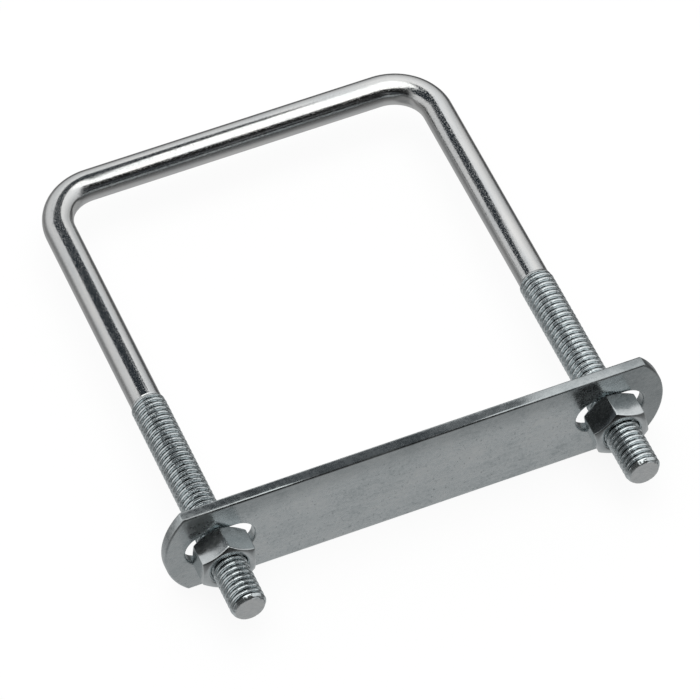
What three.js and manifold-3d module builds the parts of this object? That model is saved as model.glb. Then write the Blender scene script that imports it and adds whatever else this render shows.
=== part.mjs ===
// Square U-bolt with a slotted clamp plate and two hex nuts, 3/8-16 UNC right-hand thread.
//
// Frame, in millimetres: X runs along the plate from the left leg to the right leg, +Y runs along
// the legs from the plate to the bow, +Z is square to the plane of the U. The origin is midway
// between the leg axes, on the clamping face of the plate (the face that looks at the bow).

import * as THREE from "three";
import { mergeVertices } from "three/addons/utils/BufferGeometryUtils.js";
import Module from "manifold-3d";

// Rod
const SHANK_D = 8.5; // plain rod, which is also the pitch diameter the thread is rolled on
const LEG_SPACING = 108.5; // between the two leg axes, so 100 mm clear inside
const BOW_Y = 122.3; // axis of the straight bar that joins the legs
const LEG_END_Y = -25.1; // flat ends of the legs
const BEND_R = 12.7; // centreline radius of both bends

// Thread, 3/8-16 UNC
const PITCH = 25.4 / 16;
const MAJOR_D = 9.525;
const MINOR_D = 7.54;
const LEFT_THREAD = 72; // threaded length from the end of the left leg
const RIGHT_THREAD = 70;
const RUN_OUT = 0.8; // over which the crests sink to the plain rod
const END_FACE_D = 7.9; // flat left by the chamfer on each leg end
const END_CHAMFER = 1.1;

// Clamp plate
const PLATE_LENGTH = 138.2;
const PLATE_WIDTH = 28.6;
const PLATE_THICKNESS = 3.2;
const PLATE_END_R = 20.8; // each end is one arc that meets the long edges at a corner
const PLATE_EDGE = 0.35; // broken edges
const PLATE_SHIFT = 0.45; // the plate sits a little to the right in its slots' play
const SLOT_SPACING = 108;
const SLOT_LENGTH = 19;
const SLOT_WIDTH = 11;

// Hex nuts
const NUT_ACROSS_FLATS = 14.29;
const NUT_HEIGHT = 8.3;
const NUT_FACE_D = 13.4; // circle left on each face by the 30 degree chamfer
const NUT_BORE_D = 10.15; // clears the thread crests all round
const NUT_COUNTERSINK_D = 10.9;
const NUT_SEAT = 0.1; // clearance between each nut and the plate
const LEFT_NUT_TURN = 2; // degrees, a corner points to +Z at 0
const RIGHT_NUT_TURN = -10;

// Facets
const ROUND = 24;
const THREAD_FACETS = 12; // per turn
const BEND_STEPS = 8;
const NUT_FACETS = 30;

const wasm = await Module();
wasm.setup();

// A closed three.js geometry as a manifold-3d solid, its shared vertices merged.
function solid(geometry) {
  const bare = geometry.clone();
  bare.deleteAttribute("normal");
  bare.deleteAttribute("uv");
  const merged = mergeVertices(bare, 1e-4);
  return new wasm.Manifold(
    new wasm.Mesh({
      numProp: 3,
      vertProperties: merged.attributes.position.array,
      triVerts: new Uint32Array(merged.index.array),
    }),
  );
}

// A manifold-3d solid as a flat-shaded three.js geometry.
function geometryOf(made) {
  const mesh = made.getMesh();
  const geometry = new THREE.BufferGeometry();
  geometry.setAttribute("position", new THREE.BufferAttribute(mesh.vertProperties, 3));
  geometry.setIndex(new THREE.BufferAttribute(mesh.triVerts, 1));
  const flat = geometry.toNonIndexed();
  flat.computeVertexNormals();
  return flat;
}

// A solid of revolution about the Y axis from [radius, y] pairs, both ends on the axis.
function turned(pairs, facets) {
  const points = pairs.map(([r, y]) => new THREE.Vector2(r, y));
  return solid(new THREE.LatheGeometry(points, facets));
}

// A V-threaded rod along +Y with slanted ends: one helical strip of two flanks whose edges meet
// one turn later, closed by a fan on the axis at each end. It starts a pitch below `from` and
// ends a pitch above `to`.
function threadedRod(from, to) {
  const n = THREAD_FACETS;
  const start = from - 2 * PITCH;
  const steps = Math.ceil((to - from) / PITCH + 3) * n;
  const positions = [];
  const faces = [];
  const helix = (count, radius, rise) => {
    const first = positions.length / 3;
    for (let i = 0; i <= count; i += 1) {
      const angle = (2 * Math.PI * (i % n)) / n;
      const y = start + (PITCH * i) / n + rise;
      positions.push(radius * Math.sin(angle), y, radius * Math.cos(angle));
    }
    return first;
  };
  const root = helix(steps + n, MINOR_D / 2, 0);
  const crest = helix(steps, MAJOR_D / 2, PITCH / 2);
  const low = positions.length / 3;
  positions.push(0, start + PITCH / 2, 0);
  const high = low + 1;
  positions.push(0, start + (PITCH * steps) / n + PITCH / 2, 0);

  for (let i = 0; i < steps; i += 1) {
    const above = root + i + n;
    faces.push(root + i, root + i + 1, crest + i + 1);
    faces.push(root + i, crest + i + 1, crest + i);
    faces.push(crest + i, crest + i + 1, above + 1);
    faces.push(crest + i, above + 1, above);
  }
  const last = root + steps;
  for (let i = 0; i < n; i += 1) {
    faces.push(low, root + i + 1, root + i);
    faces.push(high, last + i, last + i + 1);
  }
  faces.push(low, root, crest);
  faces.push(low, crest, root + n);
  faces.push(high, crest + steps, last);
  faces.push(high, last + n, crest + steps);

  const geometry = new THREE.BufferGeometry();
  geometry.setAttribute("position", new THREE.Float32BufferAttribute(positions, 3));
  geometry.setIndex(faces);
  return solid(geometry);
}

// The threaded end of one leg about the Y axis: helical rod trimmed by the end chamfer and the
// run-out, on a core that swells to the plain rod where the thread stops.
function threadedEnd(length) {
  const start = LEG_END_Y + length;
  const major = MAJOR_D / 2 + 0.01;
  const shank = SHANK_D / 2;
  const envelope = turned(
    [
      [0, LEG_END_Y],
      [END_FACE_D / 2, LEG_END_Y],
      [major, LEG_END_Y + END_CHAMFER],
      [major, start - RUN_OUT],
      [shank, start],
      [0, start],
    ],
    ROUND,
  );
  const core = turned(
    [
      [0, start - 2 * PITCH],
      [MINOR_D / 2 - 0.3, start - 2 * PITCH],
      [shank, start - PITCH / 4],
      [shank, start + 1],
      [0, start + 1],
    ],
    ROUND,
  );
  return threadedRod(LEG_END_Y, start).intersect(envelope).add(core);
}

// The centreline of the plain rod, held as a chain of stations: the straights have one step each
// and each bend has BEND_STEPS.
class RodPath extends THREE.Curve {
  constructor(leftY, rightY) {
    super();
    const half = LEG_SPACING / 2;
    const turn = half - BEND_R;
    const top = BOW_Y - BEND_R;
    this.stations = [[new THREE.Vector3(-half, leftY, 0), new THREE.Vector3(0, 1, 0)]];
    for (const side of [-1, 1]) {
      for (let i = 0; i <= BEND_STEPS; i += 1) {
        const swept = (Math.PI / 2) * (i / BEND_STEPS);
        const angle = side < 0 ? Math.PI - swept : Math.PI / 2 - swept;
        const x = side * turn + BEND_R * Math.cos(angle);
        const y = top + BEND_R * Math.sin(angle);
        const along = new THREE.Vector3(Math.sin(angle), -Math.cos(angle), 0);
        this.stations.push([new THREE.Vector3(x, y, 0), along]);
      }
    }
    this.stations.push([new THREE.Vector3(half, rightY, 0), new THREE.Vector3(0, -1, 0)]);
  }

  get steps() {
    return this.stations.length - 1;
  }

  getUtoTmapping(u) {
    return u;
  }

  getPoint(t) {
    return this.stations[Math.round(t * this.steps)][0].clone();
  }

  getTangent(t) {
    return this.stations[Math.round(t * this.steps)][1].clone();
  }
}

function plainRod() {
  const path = new RodPath(LEG_END_Y + LEFT_THREAD, LEG_END_Y + RIGHT_THREAD);
  const circle = [];
  for (let i = 0; i < ROUND; i += 1) {
    const angle = (2 * Math.PI * i) / ROUND;
    circle.push(new THREE.Vector2(Math.cos(angle), Math.sin(angle)).multiplyScalar(SHANK_D / 2));
  }
  const section = new THREE.Shape(circle);
  return solid(new THREE.ExtrudeGeometry(section, { steps: path.steps, extrudePath: path }));
}

function uBoltGeometry() {
  const left = threadedEnd(LEFT_THREAD).translate([-LEG_SPACING / 2, 0, 0]);
  const right = threadedEnd(RIGHT_THREAD).translate([LEG_SPACING / 2, 0, 0]);
  return geometryOf(plainRod().add(left).add(right));
}

// The plate's outline in its own plane: two long edges and an arc at each end.
function plateGeometry() {
  const halfWidth = PLATE_WIDTH / 2;
  const centre = PLATE_LENGTH / 2 - PLATE_END_R;
  const angle = Math.asin(halfWidth / PLATE_END_R);
  const outline = new THREE.Shape();
  outline.absarc(centre, 0, PLATE_END_R, -angle, angle, false);
  outline.absarc(-centre, 0, PLATE_END_R, Math.PI - angle, Math.PI + angle, false);
  outline.closePath();
  for (const side of [-1, 1]) {
    const reach = (SLOT_LENGTH - SLOT_WIDTH) / 2;
    const middle = (side * SLOT_SPACING) / 2;
    const slot = new THREE.Path();
    slot.absarc(middle + reach, 0, SLOT_WIDTH / 2, -Math.PI / 2, Math.PI / 2, false);
    slot.absarc(middle - reach, 0, SLOT_WIDTH / 2, Math.PI / 2, (3 * Math.PI) / 2, false);
    slot.closePath();
    outline.holes.push(slot);
  }
  const geometry = new THREE.ExtrudeGeometry(outline, {
    depth: PLATE_THICKNESS - 2 * PLATE_EDGE,
    curveSegments: 9,
    bevelSize: PLATE_EDGE,
    bevelOffset: -PLATE_EDGE,
    bevelThickness: PLATE_EDGE,
    bevelSegments: 1,
  });
  geometry.translate(0, 0, PLATE_EDGE);
  return geometry;
}

// A hex nut about the Y axis with its bearing face at y = 0 and its body below it.
function nutGeometry() {
  const corner = NUT_ACROSS_FLATS / Math.sqrt(3);
  const prism = new THREE.CylinderGeometry(corner, corner, NUT_HEIGHT, 6);
  prism.translate(0, -NUT_HEIGHT / 2, 0);
  const reach = corner + 0.2;
  const drop = (reach - NUT_FACE_D / 2) * Math.tan(Math.PI / 6);
  const chamfers = turned(
    [
      [0, -NUT_HEIGHT],
      [NUT_FACE_D / 2, -NUT_HEIGHT],
      [reach, -NUT_HEIGHT + drop],
      [reach, -drop],
      [NUT_FACE_D / 2, 0],
      [0, 0],
    ],
    NUT_FACETS,
  );
  const bore = NUT_BORE_D / 2;
  const sink = NUT_COUNTERSINK_D / 2;
  const hole = turned(
    [
      [0, -NUT_HEIGHT - 1],
      [sink + 1, -NUT_HEIGHT - 1],
      [bore, -NUT_HEIGHT + sink - bore],
      [bore, bore - sink],
      [sink + 1, 1],
      [0, 1],
    ],
    NUT_FACETS,
  );
  return geometryOf(solid(prism).intersect(chamfers).subtract(hole));
}

function named(name, geometry, material) {
  const mesh = new THREE.Mesh(geometry, material);
  mesh.name = name;
  return mesh;
}

const zincRod = new THREE.MeshStandardMaterial({ color: 0xc4c9cd, roughness: 0.22, metalness: 1 });
const zincPlate = new THREE.MeshStandardMaterial({ color: 0x9a9ea1, roughness: 0.42, metalness: 1 });
const zincNut = new THREE.MeshStandardMaterial({ color: 0xa9adb0, roughness: 0.32, metalness: 1 });
const zincNutRight = zincNut.clone();

const assembly = new THREE.Group();

assembly.add(named("u_bolt", uBoltGeometry(), zincRod));

const clamp = new THREE.Group();
const plate = named("clamp_plate", plateGeometry(), zincPlate);
plate.rotation.x = Math.PI / 2;
plate.position.x = PLATE_SHIFT;
clamp.add(plate);

const nuts = new THREE.Group();
nuts.position.y = -PLATE_THICKNESS - NUT_SEAT;
const nut = nutGeometry();
const leftNut = named("nut_left", nut, zincNut);
leftNut.position.x = -LEG_SPACING / 2;
leftNut.rotation.y = THREE.MathUtils.degToRad(LEFT_NUT_TURN);
const rightNut = named("nut_right", nut.clone(), zincNutRight);
rightNut.position.x = LEG_SPACING / 2;
rightNut.rotation.y = THREE.MathUtils.degToRad(RIGHT_NUT_TURN);
nuts.add(leftNut, rightNut);
clamp.add(nuts);

assembly.add(clamp);

export default assembly;
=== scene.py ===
"""Square U-bolt with a slotted clamp plate and two hex nuts, bright zinc plated.

Lengths are in millimetres until a mesh is made. Frame: X along the plate, +Y along the legs from
the plate to the bow, +Z square to the plane of the U, origin on the plate's clamping face.
"""

import math

import bmesh
import bpy
import numpy as np
from mathutils import Matrix, Vector


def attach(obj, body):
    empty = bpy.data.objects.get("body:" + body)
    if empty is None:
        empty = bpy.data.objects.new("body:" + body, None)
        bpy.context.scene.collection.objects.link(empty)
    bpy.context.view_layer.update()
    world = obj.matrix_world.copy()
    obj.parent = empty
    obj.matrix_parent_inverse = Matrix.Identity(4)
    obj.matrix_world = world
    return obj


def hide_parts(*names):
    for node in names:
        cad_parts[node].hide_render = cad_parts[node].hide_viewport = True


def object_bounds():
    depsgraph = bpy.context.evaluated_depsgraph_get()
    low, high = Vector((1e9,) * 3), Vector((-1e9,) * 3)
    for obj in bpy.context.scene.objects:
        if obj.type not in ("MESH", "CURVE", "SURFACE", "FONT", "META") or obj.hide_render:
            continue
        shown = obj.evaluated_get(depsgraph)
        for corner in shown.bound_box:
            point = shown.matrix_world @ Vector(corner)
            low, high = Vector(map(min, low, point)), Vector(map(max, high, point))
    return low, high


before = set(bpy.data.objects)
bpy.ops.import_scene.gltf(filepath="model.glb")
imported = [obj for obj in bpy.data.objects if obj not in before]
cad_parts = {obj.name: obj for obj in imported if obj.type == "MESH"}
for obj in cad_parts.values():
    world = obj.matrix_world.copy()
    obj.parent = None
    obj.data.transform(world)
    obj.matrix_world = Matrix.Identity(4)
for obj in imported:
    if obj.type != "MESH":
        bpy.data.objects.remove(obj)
cad_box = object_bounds()

MM = 0.001

# Rod and thread, 3/8-16 UNC
SHANK_R = 4.25
LEG_X = 54.25
BOW_Y = 122.3
LEG_END_Y = -25.1
BEND_R = 12.7
PITCH = 25.4 / 16
MAJOR_R = 4.7625
MINOR_R = 3.88
LEFT_THREAD = 72.0
RIGHT_THREAD = 70.0
RUN_OUT = 1.7
END_R = 3.95
END_CHAMFER = 1.1
AROUND = 48

# The bending tool leaves a flat on the inside of each bend, by its depth and place round the rod
PRESS_DEPTH = 0.32
PRESS_ANGLE = 84.0

# Thread section over one pitch: (share of the pitch, height from root to crest)
THREAD_SECTION = (
    (0.00, 0.00), (0.05, 0.03), (0.10, 0.16), (0.17, 0.46), (0.25, 0.80), (0.30, 0.93),
    (0.37, 0.985), (0.50, 1.00), (0.63, 0.985), (0.70, 0.93), (0.75, 0.80), (0.83, 0.46),
    (0.90, 0.16), (0.95, 0.03),
)

# Clamp plate
PLATE_THICK = 3.2
PLATE_HALF_LENGTH = 69.1
PLATE_HALF_WIDTH = 14.3
PLATE_END_R = 20.8
PLATE_SHIFT = 0.45
SLOT_HALF_SPACING = 54.0
SLOT_LENGTH = 19.0
SLOT_WIDTH = 11.0
PLATE_ROUND = 0.6

# Hex nuts
NUT_FLAT = 7.145
NUT_HEIGHT = 8.3
NUT_FACE_R = 6.7
NUT_BORE_R = 4.84
NUT_SINK = 0.75
NUT_SEAT_Y = -3.3
LEFT_NUT_TURN = 2.0
RIGHT_NUT_TURN = -10.0

# Studio: the cards' outlines and heights, and the floor's distance below the object
OVERHEAD_CARD = (
    (-152, 90), (-15, 90), (-4, 148), (8, 166), (45, 172), (58, 184), (62, 205), (45, 255),
    (30, 262), (-152, 262),
)
OVERHEAD_HEIGHT = 150.0
LOW_LEFT_CARD = ((-85, 6), (-42, 6), (-34, -22), (20, -22), (20, 42), (-85, 42))
LOW_RIGHT_CARD = ((20, -22), (30, -22), (36, 6), (52, 6), (60, 42), (20, 42))
LOW_HEIGHT = 40.0
FLOOR_GAP = 0.05


# ---------------------------------------------------------------- meshes

def new_object(name, verts, faces):
    """A mesh object from points in millimetres."""
    mesh = bpy.data.meshes.new(name)
    mesh.from_pydata([tuple(v) for v in np.asarray(verts) * MM], [], faces)
    obj = bpy.data.objects.new(name, mesh)
    bpy.context.scene.collection.objects.link(obj)
    return obj


def smoothstep(x):
    x = np.clip(x, 0.0, 1.0)
    return x * x * (3 - 2 * x)


class RodLine:
    """The centreline of the bent rod by its length s, from the left leg's end to the right's."""

    def __init__(self):
        self.leg = BOW_Y - BEND_R - LEG_END_Y
        self.arc = BEND_R * math.pi / 2
        self.bar = 2 * (LEG_X - BEND_R)
        self.length = 2 * self.leg + 2 * self.arc + self.bar

    def at(self, s):
        """Centre points and unit tangents for an array of lengths."""
        s = np.asarray(s, float)
        centre = np.zeros(s.shape + (3,))
        tangent = np.zeros_like(centre)
        ends = np.cumsum([self.leg, self.arc, self.bar, self.arc])
        turn = LEG_X - BEND_R
        top = BOW_Y - BEND_R

        part = s <= ends[0]
        centre[part, 0] = -LEG_X
        centre[part, 1] = LEG_END_Y + s[part]
        tangent[part, 1] = 1

        part = (s > ends[0]) & (s <= ends[1])
        angle = math.pi - (s[part] - ends[0]) / BEND_R
        centre[part, 0] = -turn + BEND_R * np.cos(angle)
        centre[part, 1] = top + BEND_R * np.sin(angle)
        tangent[part, 0] = np.sin(angle)
        tangent[part, 1] = -np.cos(angle)

        part = (s > ends[1]) & (s <= ends[2])
        centre[part, 0] = -turn + s[part] - ends[1]
        centre[part, 1] = BOW_Y
        tangent[part, 0] = 1

        part = (s > ends[2]) & (s <= ends[3])
        angle = math.pi / 2 - (s[part] - ends[2]) / BEND_R
        centre[part, 0] = turn + BEND_R * np.cos(angle)
        centre[part, 1] = top + BEND_R * np.sin(angle)
        tangent[part, 0] = np.sin(angle)
        tangent[part, 1] = -np.cos(angle)

        part = s > ends[3]
        centre[part, 0] = LEG_X
        centre[part, 1] = top - (s[part] - ends[3])
        tangent[part, 1] = -1
        return centre, tangent


def rod_stations(length):
    """Row positions along the rod and each row's height on the thread section (nan on the plain
    rod). Rows repeat every pitch along both threads and spread out on the plain rod."""
    rows, heights = [], []

    def thread(first, last, offset):
        for turn in range(first, last):
            for share, height in THREAD_SECTION:
                rows.append(offset + (turn + share) * PITCH)
                heights.append(height)

    left_turns = math.ceil(LEFT_THREAD / PITCH) + 2
    right_turns = math.ceil(RIGHT_THREAD / PITCH) + 2
    thread(-3, left_turns, 0.0)
    start = rows[-1]
    stop = length - right_turns * PITCH
    wide, narrow = 0.85, PITCH / len(THREAD_SECTION)
    gap = stop - start
    count = int(gap / wide * 1.12)
    t = np.linspace(0, 1, count + 1)[1:-1]
    # spacing eases from the thread's to the plain rod's at both ends
    ease = 0.06
    weight = np.minimum(smoothstep(t / ease), smoothstep((1 - t) / ease))
    steps = narrow + (wide - narrow) * weight
    along = np.cumsum(steps)
    along = along / (along[-1] + narrow) * gap
    rows.extend(start + along)
    heights.extend([float("nan")] * len(along))
    thread(-right_turns, 3, length)
    return np.array(rows), np.array(heights)


def make_rod():
    """The whole rod as one closed skin: a single strip wound round the rod, one row of the thread
    section beside the next, whose columns climb one pitch a turn so that crests lie on edges."""
    line = RodLine()
    rows, heights = rod_stations(line.length)
    per_turn = len(THREAD_SECTION)
    usable = len(rows) - per_turn
    climb = rows[per_turn:] - rows[:usable]
    column = np.arange(AROUND)
    s = rows[:usable, None] + climb[:, None] * column[None, :] / AROUND
    height = np.repeat(heights[:usable, None], AROUND, axis=1)

    # one point of each column sits exactly on each end's edge
    for edge in (0.0, line.length):
        nearest = np.abs(s - edge).argmin(axis=0)
        s[nearest, column] = edge

    thread = MINOR_R + (MAJOR_R - MINOR_R) * np.nan_to_num(height, nan=0.5)
    left = smoothstep((LEFT_THREAD - s) / RUN_OUT)
    right = smoothstep((s - line.length + RIGHT_THREAD) / RUN_OUT)
    threaded = np.maximum(left, right)
    threaded[np.isnan(height)] = 0
    radius = SHANK_R + (thread - SHANK_R) * threaded
    from_end = np.minimum(s, line.length - s)
    cone = END_R + np.maximum(from_end, 0) * (MAJOR_R - END_R) / END_CHAMFER
    radius = np.minimum(radius, cone)
    for middle in (line.leg + line.arc / 2, line.length - line.leg - line.arc / 2):
        pressed = PRESS_DEPTH * smoothstep(1.5 - np.abs(s - middle) / (line.arc * 0.17))
        facing = np.cos(2 * math.pi * column / AROUND - math.radians(PRESS_ANGLE))
        flat = (SHANK_R - pressed) / np.maximum(facing, 0.2)
        radius = np.where(pressed > 0, np.minimum(radius, flat), radius)
    radius = np.where(from_end < 0, END_R * np.maximum(0, 1 + from_end / PITCH), radius)

    centre, tangent = line.at(np.clip(s, 0, line.length))
    up = np.array([0.0, 0.0, 1.0])
    side = np.cross(tangent, up)
    angle = 2 * math.pi * column / AROUND
    out = np.cos(angle)[None, :, None] * up + np.sin(angle)[None, :, None] * side
    verts = (centre + radius[..., None] * out).reshape(-1, 3)

    faces = []
    for j in range(usable - per_turn - 1):
        base = j * AROUND
        for i in range(AROUND):
            a = base + i
            # the last column meets the first one a pitch further on
            b = a + 1 if i < AROUND - 1 else base + per_turn * AROUND
            faces.append((a, b, b + AROUND, a + AROUND))
    obj = new_object("rod", verts, faces)
    mesh = obj.data
    along = mesh.attributes.new("along", "FLOAT_VECTOR", "POINT")
    inward = np.where(from_end < 0, radius / END_R, 1.0)
    kept = np.clip(s, 0, line.length)
    grain = np.stack([np.cos(angle) * inward, np.sin(angle) * inward, kept], axis=-1)
    along.data.foreach_set("vector", grain.reshape(-1).astype(np.float32))
    depth = mesh.attributes.new("depth", "FLOAT", "POINT")
    below = np.clip((MAJOR_R - radius) / (MAJOR_R - MINOR_R), 0, 1) * (threaded > 0.3)
    below = np.where(from_end <= 0.4, 0.35, below)
    depth.data.foreach_set("value", below.reshape(-1).astype(np.float32))
    mark = mesh.attributes.new("threaded", "FLOAT", "POINT")
    faced = np.where(from_end <= 0, 0.25, threaded)
    mark.data.foreach_set("value", faced.reshape(-1).astype(np.float32))

    work = bmesh.new()
    work.from_mesh(mesh)
    bmesh.ops.remove_doubles(work, verts=work.verts, dist=2e-6)
    loose = [v for v in work.verts if not v.link_faces]
    bmesh.ops.delete(work, geom=loose, context="VERTS")
    bmesh.ops.recalc_face_normals(work, faces=work.faces)
    work.to_mesh(mesh)
    work.free()
    mesh.shade_smooth()
    mesh.set_sharp_from_angle(angle=math.radians(42))
    return obj


def softened(points, reach, steps=3):
    """A closed chain of 2-D points with each corner replaced by a short curve."""
    out = []
    count = len(points)
    for k in range(count):
        before, here, after = points[k - 1], points[k], points[(k + 1) % count]
        back = before - here
        ahead = after - here
        start = here + back / np.linalg.norm(back) * min(reach, np.linalg.norm(back) / 2.2)
        stop = here + ahead / np.linalg.norm(ahead) * min(reach, np.linalg.norm(ahead) / 2.2)
        for n in range(steps + 1):
            t = n / steps
            out.append((1 - t) ** 2 * start + 2 * t * (1 - t) * here + t * t * stop)
    return out


def make_nut(name, x, turn):
    """A hex nut about the leg's axis: for each direction round the axis, one softened section."""
    sector = [0.0, 0.35, 0.8, 1.4, 2.2, 3.4, 5.5, 9.0, 14.0, 19.0, 24.5]
    angles = []
    for corner in range(6):
        for offset in [-a for a in reversed(sector[1:])] + sector + [30.0]:
            angles.append(60.0 * corner + offset)
    rings = []
    sharp = 90
    slope = math.tan(math.pi / 6)
    for angle in angles:
        local = math.radians((angle + 30) % 60 - 30)
        flats = [abs(math.cos(local - math.pi / 6)), abs(math.cos(local + math.pi / 6))]
        hexagon = NUT_FLAT / sum(f ** sharp for f in flats) ** (1 / sharp)
        drop = (hexagon - NUT_FACE_R) * slope
        section = [
            np.array(p)
            for p in (
                (NUT_BORE_R, -NUT_HEIGHT + NUT_SINK),
                (NUT_BORE_R + NUT_SINK, -NUT_HEIGHT),
                (NUT_FACE_R, -NUT_HEIGHT),
                (hexagon, -NUT_HEIGHT + drop),
                (hexagon, -drop),
                (NUT_FACE_R, 0.0),
                (NUT_BORE_R + NUT_SINK, 0.0),
                (NUT_BORE_R, -NUT_SINK),
            )
        ]
        rings.append(softened(section, 0.34))
    turn = math.radians(turn)
    verts = []
    for angle, ring in zip(angles, rings):
        a = math.radians(angle) + turn
        for r, y in ring:
            verts.append((x + r * math.sin(a), NUT_SEAT_Y + y, r * math.cos(a)))
    across = len(rings[0])
    count = len(rings)
    faces = []
    for i in range(count):
        here, after = i * across, ((i + 1) % count) * across
        for j in range(across):
            k = (j + 1) % across
            faces.append((here + j, here + k, after + k, after + j))
    obj = new_object(name, verts, faces)
    work = bmesh.new()
    work.from_mesh(obj.data)
    bmesh.ops.recalc_face_normals(work, faces=work.faces)
    work.to_mesh(obj.data)
    work.free()
    obj.data.shade_smooth()
    obj.data.set_sharp_from_angle(angle=math.radians(48))
    return obj


def arc_points(cx, radius, start, stop, count):
    angles = [start + (stop - start) * k / count for k in range(count + 1)]
    return [(cx + radius * math.cos(a), radius * math.sin(a)) for a in angles]


def make_plate():
    """The slotted bar: a filled outline with its edges rounded, then turned to face +Y."""
    reach = PLATE_HALF_LENGTH - PLATE_END_R
    swing = math.asin(PLATE_HALF_WIDTH / PLATE_END_R)
    outline = arc_points(reach, PLATE_END_R, -swing, swing, 40)
    outline += arc_points(-reach, PLATE_END_R, math.pi - swing, math.pi + swing, 40)
    loops = [outline]
    half = (SLOT_LENGTH - SLOT_WIDTH) / 2
    for side in (-1, 1):
        middle = side * SLOT_HALF_SPACING
        slot = arc_points(middle + half, SLOT_WIDTH / 2, -math.pi / 2, math.pi / 2, 24)
        slot += arc_points(middle - half, SLOT_WIDTH / 2, math.pi / 2, 1.5 * math.pi, 24)
        loops.append(slot)
    curve = bpy.data.curves.new("plate_outline", "CURVE")
    curve.dimensions = "2D"
    curve.fill_mode = "BOTH"
    for loop in loops:
        spline = curve.splines.new("POLY")
        spline.points.add(len(loop) - 1)
        for point, (u, v) in zip(spline.points, loop):
            point.co = (u, v, 0, 1)
        spline.use_cyclic_u = True
    curve.extrude = PLATE_THICK / 2 - PLATE_ROUND
    curve.bevel_depth = PLATE_ROUND
    curve.bevel_resolution = 3
    curve.offset = -PLATE_ROUND
    source = bpy.data.objects.new("plate_outline", curve)
    bpy.context.scene.collection.objects.link(source)
    depsgraph = bpy.context.evaluated_depsgraph_get()
    mesh = bpy.data.meshes.new_from_object(source.evaluated_get(depsgraph))
    bpy.data.objects.remove(source)
    bpy.data.curves.remove(curve)
    mesh.name = "plate"
    place = Matrix(
        (
            (MM, 0, 0, PLATE_SHIFT * MM),
            (0, 0, -MM, -PLATE_THICK / 2 * MM),
            (0, MM, 0, 0),
            (0, 0, 0, 1),
        )
    )
    mesh.transform(place)
    work = bmesh.new()
    work.from_mesh(mesh)
    bmesh.ops.remove_doubles(work, verts=work.verts, dist=1e-6)
    bmesh.ops.recalc_face_normals(work, faces=work.faces)
    work.to_mesh(mesh)
    work.free()
    mesh.materials.clear()
    obj = bpy.data.objects.new("plate", mesh)
    bpy.context.scene.collection.objects.link(obj)
    mesh.shade_smooth()
    flat_faces_straight(mesh)
    return obj


def flat_faces_straight(mesh):
    """Keeps the two big faces' normals square, so that the rounded edges don't bend them."""
    normals = [v.normal.copy() for v in mesh.vertices]
    for face in mesh.polygons:
        if abs(face.normal.y) > 0.999:
            for index in face.vertices:
                normals[index] = face.normal.copy()
    mesh.normals_split_custom_set_from_vertices(normals)


# ---------------------------------------------------------------- materials

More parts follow.
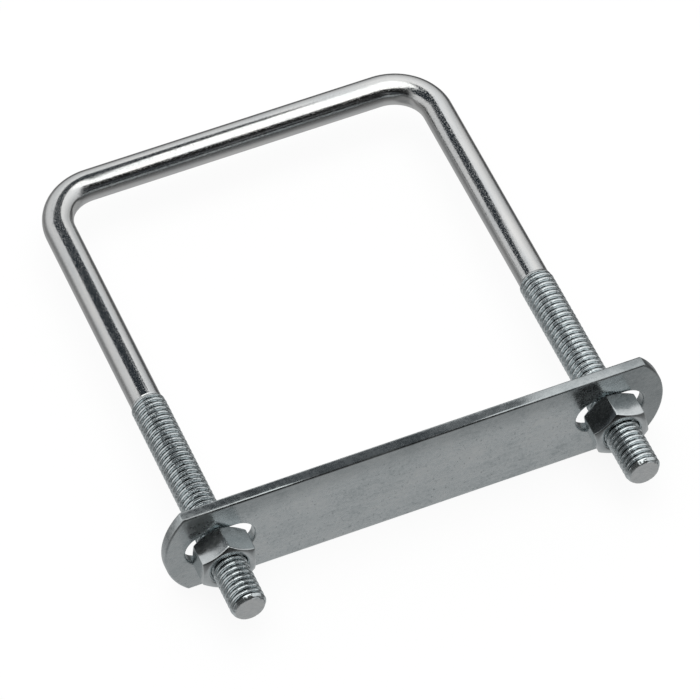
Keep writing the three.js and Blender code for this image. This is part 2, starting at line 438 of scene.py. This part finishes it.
class Nodes:
    """A short way to write a material's node tree."""

    def __init__(self, name, world=False):
        if world:
            self.block = bpy.data.worlds.new(name)
        else:
            self.block = bpy.data.materials.new(name)
        self.block.use_nodes = True
        self.tree = self.block.node_tree
        self.tree.nodes.clear()

    def add(self, kind, settings=None, **inputs):
        node = self.tree.nodes.new(kind)
        for key, value in (settings or {}).items():
            setattr(node, key, value)
        for key, value in inputs.items():
            self.put(node, key.replace("_", " "), value)
        return node

    def put(self, node, key, value):
        socket = node.inputs[int(key)] if key.isdigit() else node.inputs[key]
        if isinstance(value, bpy.types.NodeSocket):
            self.tree.links.new(value, socket)
        else:
            socket.default_value = value

    def math(self, operation, *values, clamp=False):
        node = self.tree.nodes.new("ShaderNodeMath")
        node.operation = operation
        node.use_clamp = clamp
        for k, value in enumerate(values):
            self.put(node, str(k), value)
        return node.outputs[0]

    def ramp(self, value, *stops):
        """A colour ramp of (position, grey or colour) stops."""
        node = self.tree.nodes.new("ShaderNodeValToRGB")
        self.put(node, "Fac", value)
        elements = node.color_ramp.elements
        while len(elements) > 1:
            elements.remove(elements[-1])
        for k, (position, colour) in enumerate(stops):
            if not isinstance(colour, tuple):
                colour = (colour, colour, colour)
            element = elements[0] if k == 0 else elements.new(position)
            element.position = position
            element.color = (*colour, 1)
        return node.outputs["Color"]

    def noise(self, vector, scale, detail=3.0, rough=0.55, stretch=None):
        if stretch:
            vector = self.scaled(vector, stretch)
        settings = {"noise_dimensions": "3D"}
        node = self.add(
            "ShaderNodeTexNoise", settings, Vector=vector, Scale=scale, Detail=detail, Roughness=rough
        )
        return node.outputs["Fac"]

    def scaled(self, vector, factors):
        node = self.tree.nodes.new("ShaderNodeVectorMath")
        node.operation = "MULTIPLY"
        self.put(node, "0", vector)
        self.put(node, "1", factors)
        return node.outputs[0]

    def remap(self, value, low, high, to_low, to_high):
        """The value eased from low..high to to_low..to_high and held beyond them."""
        settings = {"interpolation_type": "SMOOTHSTEP", "clamp": True}
        node = self.add("ShaderNodeMapRange", settings, Value=value)
        for key, limit in (
            ("From Min", low), ("From Max", high), ("To Min", to_low), ("To Max", to_high),
        ):
            self.put(node, key, limit)
        return node.outputs["Result"]

    def mix(self, factor, a, b):
        node = self.tree.nodes.new("ShaderNodeMix")
        node.data_type = "RGBA"
        self.put(node, "Factor", factor)
        for socket, value in ((node.inputs[6], a), (node.inputs[7], b)):
            if isinstance(value, bpy.types.NodeSocket):
                self.tree.links.new(value, socket)
            else:
                socket.default_value = (*value, 1)
        return node.outputs[2]

    def bump(self, height, strength, distance, normal=None):
        node = self.add("ShaderNodeBump", None, Height=height, Strength=strength, Distance=distance)
        if normal is not None:
            self.put(node, "Normal", normal)
        return node.outputs["Normal"]

    def attribute(self, name):
        settings = {"attribute_name": name, "attribute_type": "GEOMETRY"}
        return self.add("ShaderNodeAttribute", settings)

    def blend(self, factor, a, b):
        """The number a where the factor is 0 and b where it is 1."""
        kept = self.math("MULTIPLY", a, self.math("SUBTRACT", 1.0, factor))
        return self.math("ADD", kept, self.math("MULTIPLY", b, factor))

    def metal(self, colour, roughness, normal, metallic=1.0):
        """Finishes the material with one metal shader."""
        shader = self.add("ShaderNodeBsdfPrincipled")
        self.put(shader, "Metallic", metallic)
        self.put(shader, "Base Color", colour)
        self.put(shader, "Roughness", roughness)
        self.put(shader, "Normal", normal)
        out = self.add("ShaderNodeOutputMaterial")
        self.tree.links.new(shader.outputs[0], out.inputs["Surface"])
        return self.block


def rod_material():
    """Bright zinc on drawn rod: near mirror on the plain rod with fine lines along it, satin and
    bluish on the rolled thread with brighter crests; its roots are painted near black, painted
    shade in the hollows with some dirt."""
    m = Nodes("zinc_rod")
    place = m.attribute("along").outputs["Vector"]
    threaded = m.attribute("threaded").outputs["Fac"]
    depth = m.attribute("depth").outputs["Fac"]
    lines = m.noise(place, 1.0, 4.0, 0.6, (34.0, 34.0, 0.05))
    pores = m.noise(place, 1.0, 5.0, 0.65, (16.0, 16.0, 3.2))
    cloud = m.noise(place, 1.0, 3.0, 0.5, (2.2, 2.2, 0.06))
    grit = m.noise(place, 1.0, 4.0, 0.7, (24.0, 24.0, 6.0))
    dents = m.noise(place, 1.0, 2.0, 0.5, (3.2, 3.2, 0.75))
    patch = m.noise(place, 1.0, 3.0, 0.5, (3.0, 3.0, 0.25))

    plain_tone = m.ramp(cloud, (0.3, (0.68, 0.70, 0.71)), (0.7, (0.79, 0.79, 0.78)))
    flank = m.ramp(grit, (0.3, (0.58, 0.65, 0.67)), (0.7, (0.86, 0.90, 0.91)))
    # painted shade: the thread's roots are painted near black where they lie deep, partly dirt
    root_painted_shade = (0.03, 0.034, 0.038)
    uneven = m.math("ADD", depth, m.remap(patch, 0.3, 0.7, -0.12, 0.12))
    root_shade_mask = m.remap(uneven, 0.45, 0.92, 0.0, 1.0)
    thread_tone = m.mix(root_shade_mask, flank, root_painted_shade)
    colour = m.mix(threaded, plain_tone, thread_tone)

    plain_rough = m.remap(pores, 0.35, 0.75, 0.08, 0.22)
    crest_rough = m.remap(grit, 0.3, 0.7, 0.05, 0.16)
    flank_rough = m.remap(grit, 0.3, 0.7, 0.11, 0.24)
    on_flank = m.remap(depth, 0.08, 0.35, 0.0, 1.0)
    thread_rough = m.blend(on_flank, crest_rough, flank_rough)
    rough = m.blend(threaded, plain_rough, thread_rough)

    fine = m.math("ADD", m.math("MULTIPLY", lines, 0.7), m.math("MULTIPLY", pores, 0.5))
    normal = m.bump(fine, 0.18, 0.00004)
    on_plain = m.math("SUBTRACT", 1.0, threaded)
    pits = m.math("MULTIPLY", m.remap(pores, 0.54, 0.66, 0.0, 1.0), on_plain)
    normal = m.bump(pits, 0.2, 0.00005, normal)
    worn = m.math("MULTIPLY", m.math("ADD", dents, m.math("MULTIPLY", grit, 0.02)), threaded)
    normal = m.bump(worn, 0.55, 0.00045, normal)
    cover = m.math("MULTIPLY", threaded, 0.05)
    return m.metal(colour, rough, normal, m.math("SUBTRACT", 1.0, cover))


def plate_material():
    """Bright zinc on a stamped bar: satin grey, clouded, with faint rolling lines and nicks, and
    painted shade that darkens its top edge and both ends.
    """
    m = Nodes("zinc_plate")
    where = m.add("ShaderNodeTexCoord").outputs["Object"]
    cloud = m.noise(where, 90.0, 5.0, 0.62)
    fleck = m.noise(where, 950.0, 4.0, 0.7)
    specks = m.noise(where, 1500.0, 2.0, 0.5)
    lines = m.noise(where, 1.0, 4.0, 0.6, (60.0, 900.0, 1500.0))
    scuff = m.noise(where, 1.0, 3.0, 0.7, (160.0, 500.0, 700.0))
    along, _, up = m.add("ShaderNodeSeparateXYZ", None, Vector=where).outputs
    tone = m.math("ADD", m.math("MULTIPLY", cloud, 0.4), m.math("MULTIPLY", fleck, 0.4))
    tone = m.math("ADD", tone, m.math("MULTIPLY", scuff, 0.2))
    # light is the lit copy of the zinc tone and dark is its shaded copy, used for painted shade and
    # for the dark specks
    light = m.ramp(
        tone,
        (0.38, (0.535, 0.585, 0.60)), (0.5, (0.745, 0.795, 0.81)), (0.62, (0.88, 0.915, 0.92)),
    )
    dark = m.ramp(tone, (0.38, (0.355, 0.39, 0.40)), (0.62, (0.59, 0.63, 0.64)))
    # painted shade: the bar is painted darker towards its top edge and towards both ends, the right
    # end most; the last mask adds small dark specks
    painted_shade_and_specks = m.remap(up, 0.0055, 0.0135, 0.0, 0.75)
    painted_shade_and_specks = m.math("MAXIMUM", painted_shade_and_specks, m.remap(along, 0.042, 0.062, 0.0, 1.0))
    painted_shade_and_specks = m.math("MAXIMUM", painted_shade_and_specks, m.remap(along, -0.050, -0.066, 0.0, 0.4))
    painted_shade_and_specks = m.math("MAXIMUM", painted_shade_and_specks, m.remap(specks, 0.63, 0.70, 0.0, 0.9))
    colour = m.mix(painted_shade_and_specks, light, dark)
    rough = m.remap(tone, 0.38, 0.62, 0.20, 0.34)
    height = m.math("ADD", m.math("MULTIPLY", lines, 0.35), m.math("MULTIPLY", fleck, 0.5))
    normal = m.bump(height, 0.4, 0.00011)
    normal = m.bump(cloud, 0.2, 0.0007, normal)
    return m.metal(colour, rough, normal)


def nut_material():
    """Bright zinc on a cold-formed nut: smooth semi-gloss with soft blotches."""
    m = Nodes("zinc_nut")
    where = m.add("ShaderNodeTexCoord").outputs["Object"]
    cloud = m.noise(where, 160.0, 4.0, 0.55)
    fleck = m.noise(where, 900.0, 4.0, 0.6)
    tone = m.math("ADD", m.math("MULTIPLY", cloud, 0.6), m.math("MULTIPLY", fleck, 0.4))
    colour = m.ramp(tone, (0.35, (0.56, 0.605, 0.62)), (0.65, (0.78, 0.815, 0.825)))
    rough = m.remap(tone, 0.35, 0.65, 0.13, 0.25)
    normal = m.bump(fleck, 0.12, 0.00005)
    normal = m.bump(cloud, 0.16, 0.0005, normal)
    return m.metal(colour, rough, normal)


def floor_material():
    """A pale lit table that only faintly takes a shadow."""
    m = Nodes("studio_floor")
    matt = m.add("ShaderNodeBsdfDiffuse", None, Color=(0.93, 0.93, 0.93, 1))
    lit = m.add("ShaderNodeEmission", None, Color=(0.985, 0.985, 0.985, 1), Strength=1.0)
    both = m.add("ShaderNodeMixShader", None, Fac=0.93)
    m.tree.links.new(matt.outputs[0], both.inputs[1])
    m.tree.links.new(lit.outputs[0], both.inputs[2])
    out = m.add("ShaderNodeOutputMaterial")
    m.tree.links.new(both.outputs[0], out.inputs["Surface"])
    return m.block


# ---------------------------------------------------------------- studio

def studio_world():
    """A white room: a softbox overhead, pale walls at the back and sides, a dark side behind the
    camera and a grey table below. The camera itself sees a plain pale backdrop."""
    w = Nodes("studio", world=True)
    direction = w.add("ShaderNodeTexCoord").outputs["Generated"]
    split = w.add("ShaderNodeSeparateXYZ", None, Vector=direction)
    x, y, z = split.outputs
    height = w.math("MULTIPLY_ADD", z, 0.5, 0.5)
    azimuth = w.math("ARCTAN2", x, y)
    right_end = w.remap(azimuth, math.radians(120), math.radians(142), 1.0, 0.0)
    left_end = w.remap(azimuth, math.radians(-118), math.radians(-88), 0.0, 1.0)
    around = w.math("MULTIPLY", right_end, left_end)
    rear_right = w.ramp(
        height,
        (0.00, 0.46), (0.12, 0.43), (0.20, 0.34), (0.27, 0.13), (0.36, 0.06), (0.43, 0.10),
        (0.50, 0.38), (0.56, 0.56), (0.70, 0.74), (0.86, 0.95), (1.00, 0.95),
    )
    rear_left = w.ramp(
        height,
        (0.00, 0.46), (0.12, 0.43), (0.20, 0.36), (0.27, 0.24), (0.35, 0.20), (0.42, 0.28),
        (0.50, 0.56), (0.56, 0.66), (0.75, 0.72), (0.93, 0.76), (1.00, 0.78),
    )
    rear = w.mix(w.remap(x, -0.25, 0.25, 0.0, 1.0), rear_left, rear_right)
    front = w.ramp(
        height,
        (0.00, 0.46), (0.10, 0.40), (0.15, 0.33), (0.20, 0.22), (0.26, 0.18), (0.35, 0.11),
        (0.43, 0.08), (0.50, 0.06), (0.60, 0.014), (0.86, 0.012), (0.90, 0.06),
    )
    room = w.mix(around, front, rear)
    lean = Vector((0.05, -0.13, 1.0)).normalized()
    flat = w.math("ADD", w.math("MULTIPLY", x, lean.x), w.math("MULTIPLY", y, lean.y))
    dot = w.math("ADD", flat, w.math("MULTIPLY", z, lean.z))
    box = w.remap(dot, math.cos(math.radians(31)), math.cos(math.radians(27)), 0.0, 1.0)
    room = w.mix(box, room, (1.5, 1.5, 1.47))
    camera_ray = w.add("ShaderNodeLightPath").outputs["Is Camera Ray"]
    seen = w.mix(camera_ray, room, (0.99, 0.99, 0.99))
    background = w.add("ShaderNodeBackground", None, Color=seen, Strength=1.0)
    out = w.add("ShaderNodeOutputWorld")
    w.tree.links.new(background.outputs[0], out.inputs["Surface"])
    bpy.context.scene.world = w.block


def flag(name, corners, height, colour):
    """A flat card above the object that only mirror-like surfaces see."""
    verts = [(x, y, height) for x, y in corners]
    obj = new_object(name, verts, [tuple(range(len(verts)))])
    m = Nodes(name)
    shader = m.add("ShaderNodeEmission", None, Color=(*colour, 1), Strength=1.0)
    out = m.add("ShaderNodeOutputMaterial")
    m.tree.links.new(shader.outputs[0], out.inputs["Surface"])
    obj.data.materials.append(m.block)
    obj.visible_camera = False
    obj.visible_diffuse = False
    obj.visible_shadow = False


def make_floor(level):
    half = 6000.0
    verts = [(-half, -half, level), (half, -half, level), (half, half, level), (-half, half, level)]
    obj = new_object("floor", verts, [(0, 1, 2, 3)])
    obj.data.materials.append(floor_material())
    obj.visible_glossy = False


def area_light(name, place, target, size, power):
    light = bpy.data.lights.new(name, "AREA")
    light.shape = "SQUARE"
    light.size = size
    light.energy = power
    obj = bpy.data.objects.new(name, light)
    obj.location = place
    aim = Vector(target) - Vector(place)
    obj.rotation_euler = aim.to_track_quat("-Z", "Y").to_euler()
    obj.visible_camera = False
    obj.visible_glossy = False
    bpy.context.scene.collection.objects.link(obj)


def make_camera():
    """The camera by where it looks, its bearing round the object, its distance, roll and lens."""
    target = Vector((0.715, 42.155, 0.0)) * MM
    azimuth = math.radians(-21.139)
    elevation = math.radians(50.939)
    roll = math.radians(-1.80)
    distance = 1.44347
    back = Vector(
        (
            math.sin(azimuth) * math.cos(elevation),
            -math.cos(azimuth) * math.cos(elevation),
            math.sin(elevation),
        )
    )
    right = (-back).cross(Vector((0, 0, 1))).normalized()
    up = right.cross(-back)
    tilted_right = right * math.cos(roll) + up * math.sin(roll)
    tilted_up = up * math.cos(roll) - right * math.sin(roll)
    data = bpy.data.cameras.new("camera")
    data.sensor_width = 36.0
    data.lens = 285.33
    data.clip_start = 0.05
    data.clip_end = 50.0
    obj = bpy.data.objects.new("camera", data)
    axes = Matrix((tilted_right, tilted_up, back)).transposed()
    obj.matrix_world = Matrix.Translation(target + back * distance) @ axes.to_4x4()
    bpy.context.scene.collection.objects.link(obj)
    bpy.context.scene.camera = obj


# ---------------------------------------------------------------- assembly

make_camera()

rod = make_rod()
rod.data.materials.append(rod_material())
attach(rod, "bolt")
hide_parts("u_bolt")

plate = make_plate()
plate.data.materials.append(plate_material())
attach(plate, "plate")
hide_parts("clamp_plate")

nut_finish = nut_material()
for piece_name, x, turn, body, node in (
    ("hex_nut_left", -LEG_X, LEFT_NUT_TURN, "left_nut", "nut_left"),
    ("hex_nut_right", LEG_X, RIGHT_NUT_TURN, "right_nut", "nut_right"),
):
    nut = make_nut(piece_name, x, turn)
    nut.data.materials.append(nut_finish)
    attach(nut, body)
    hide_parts(node)

studio_world()
make_floor(cad_box[0].z / MM - FLOOR_GAP)
flag("overhead_flag", OVERHEAD_CARD, OVERHEAD_HEIGHT, (0.022, 0.028, 0.034))
flag("low_flag", LOW_LEFT_CARD, LOW_HEIGHT, (0.06, 0.066, 0.072))
flag("low_flag_right", LOW_RIGHT_CARD, LOW_HEIGHT, (0.15, 0.155, 0.16))
area_light("floor_wash", (0.0, 0.05, 2.2), (0, 0.05, 0), 2.5, 42.0)

bpy.context.scene.view_settings.view_transform = "Standard"
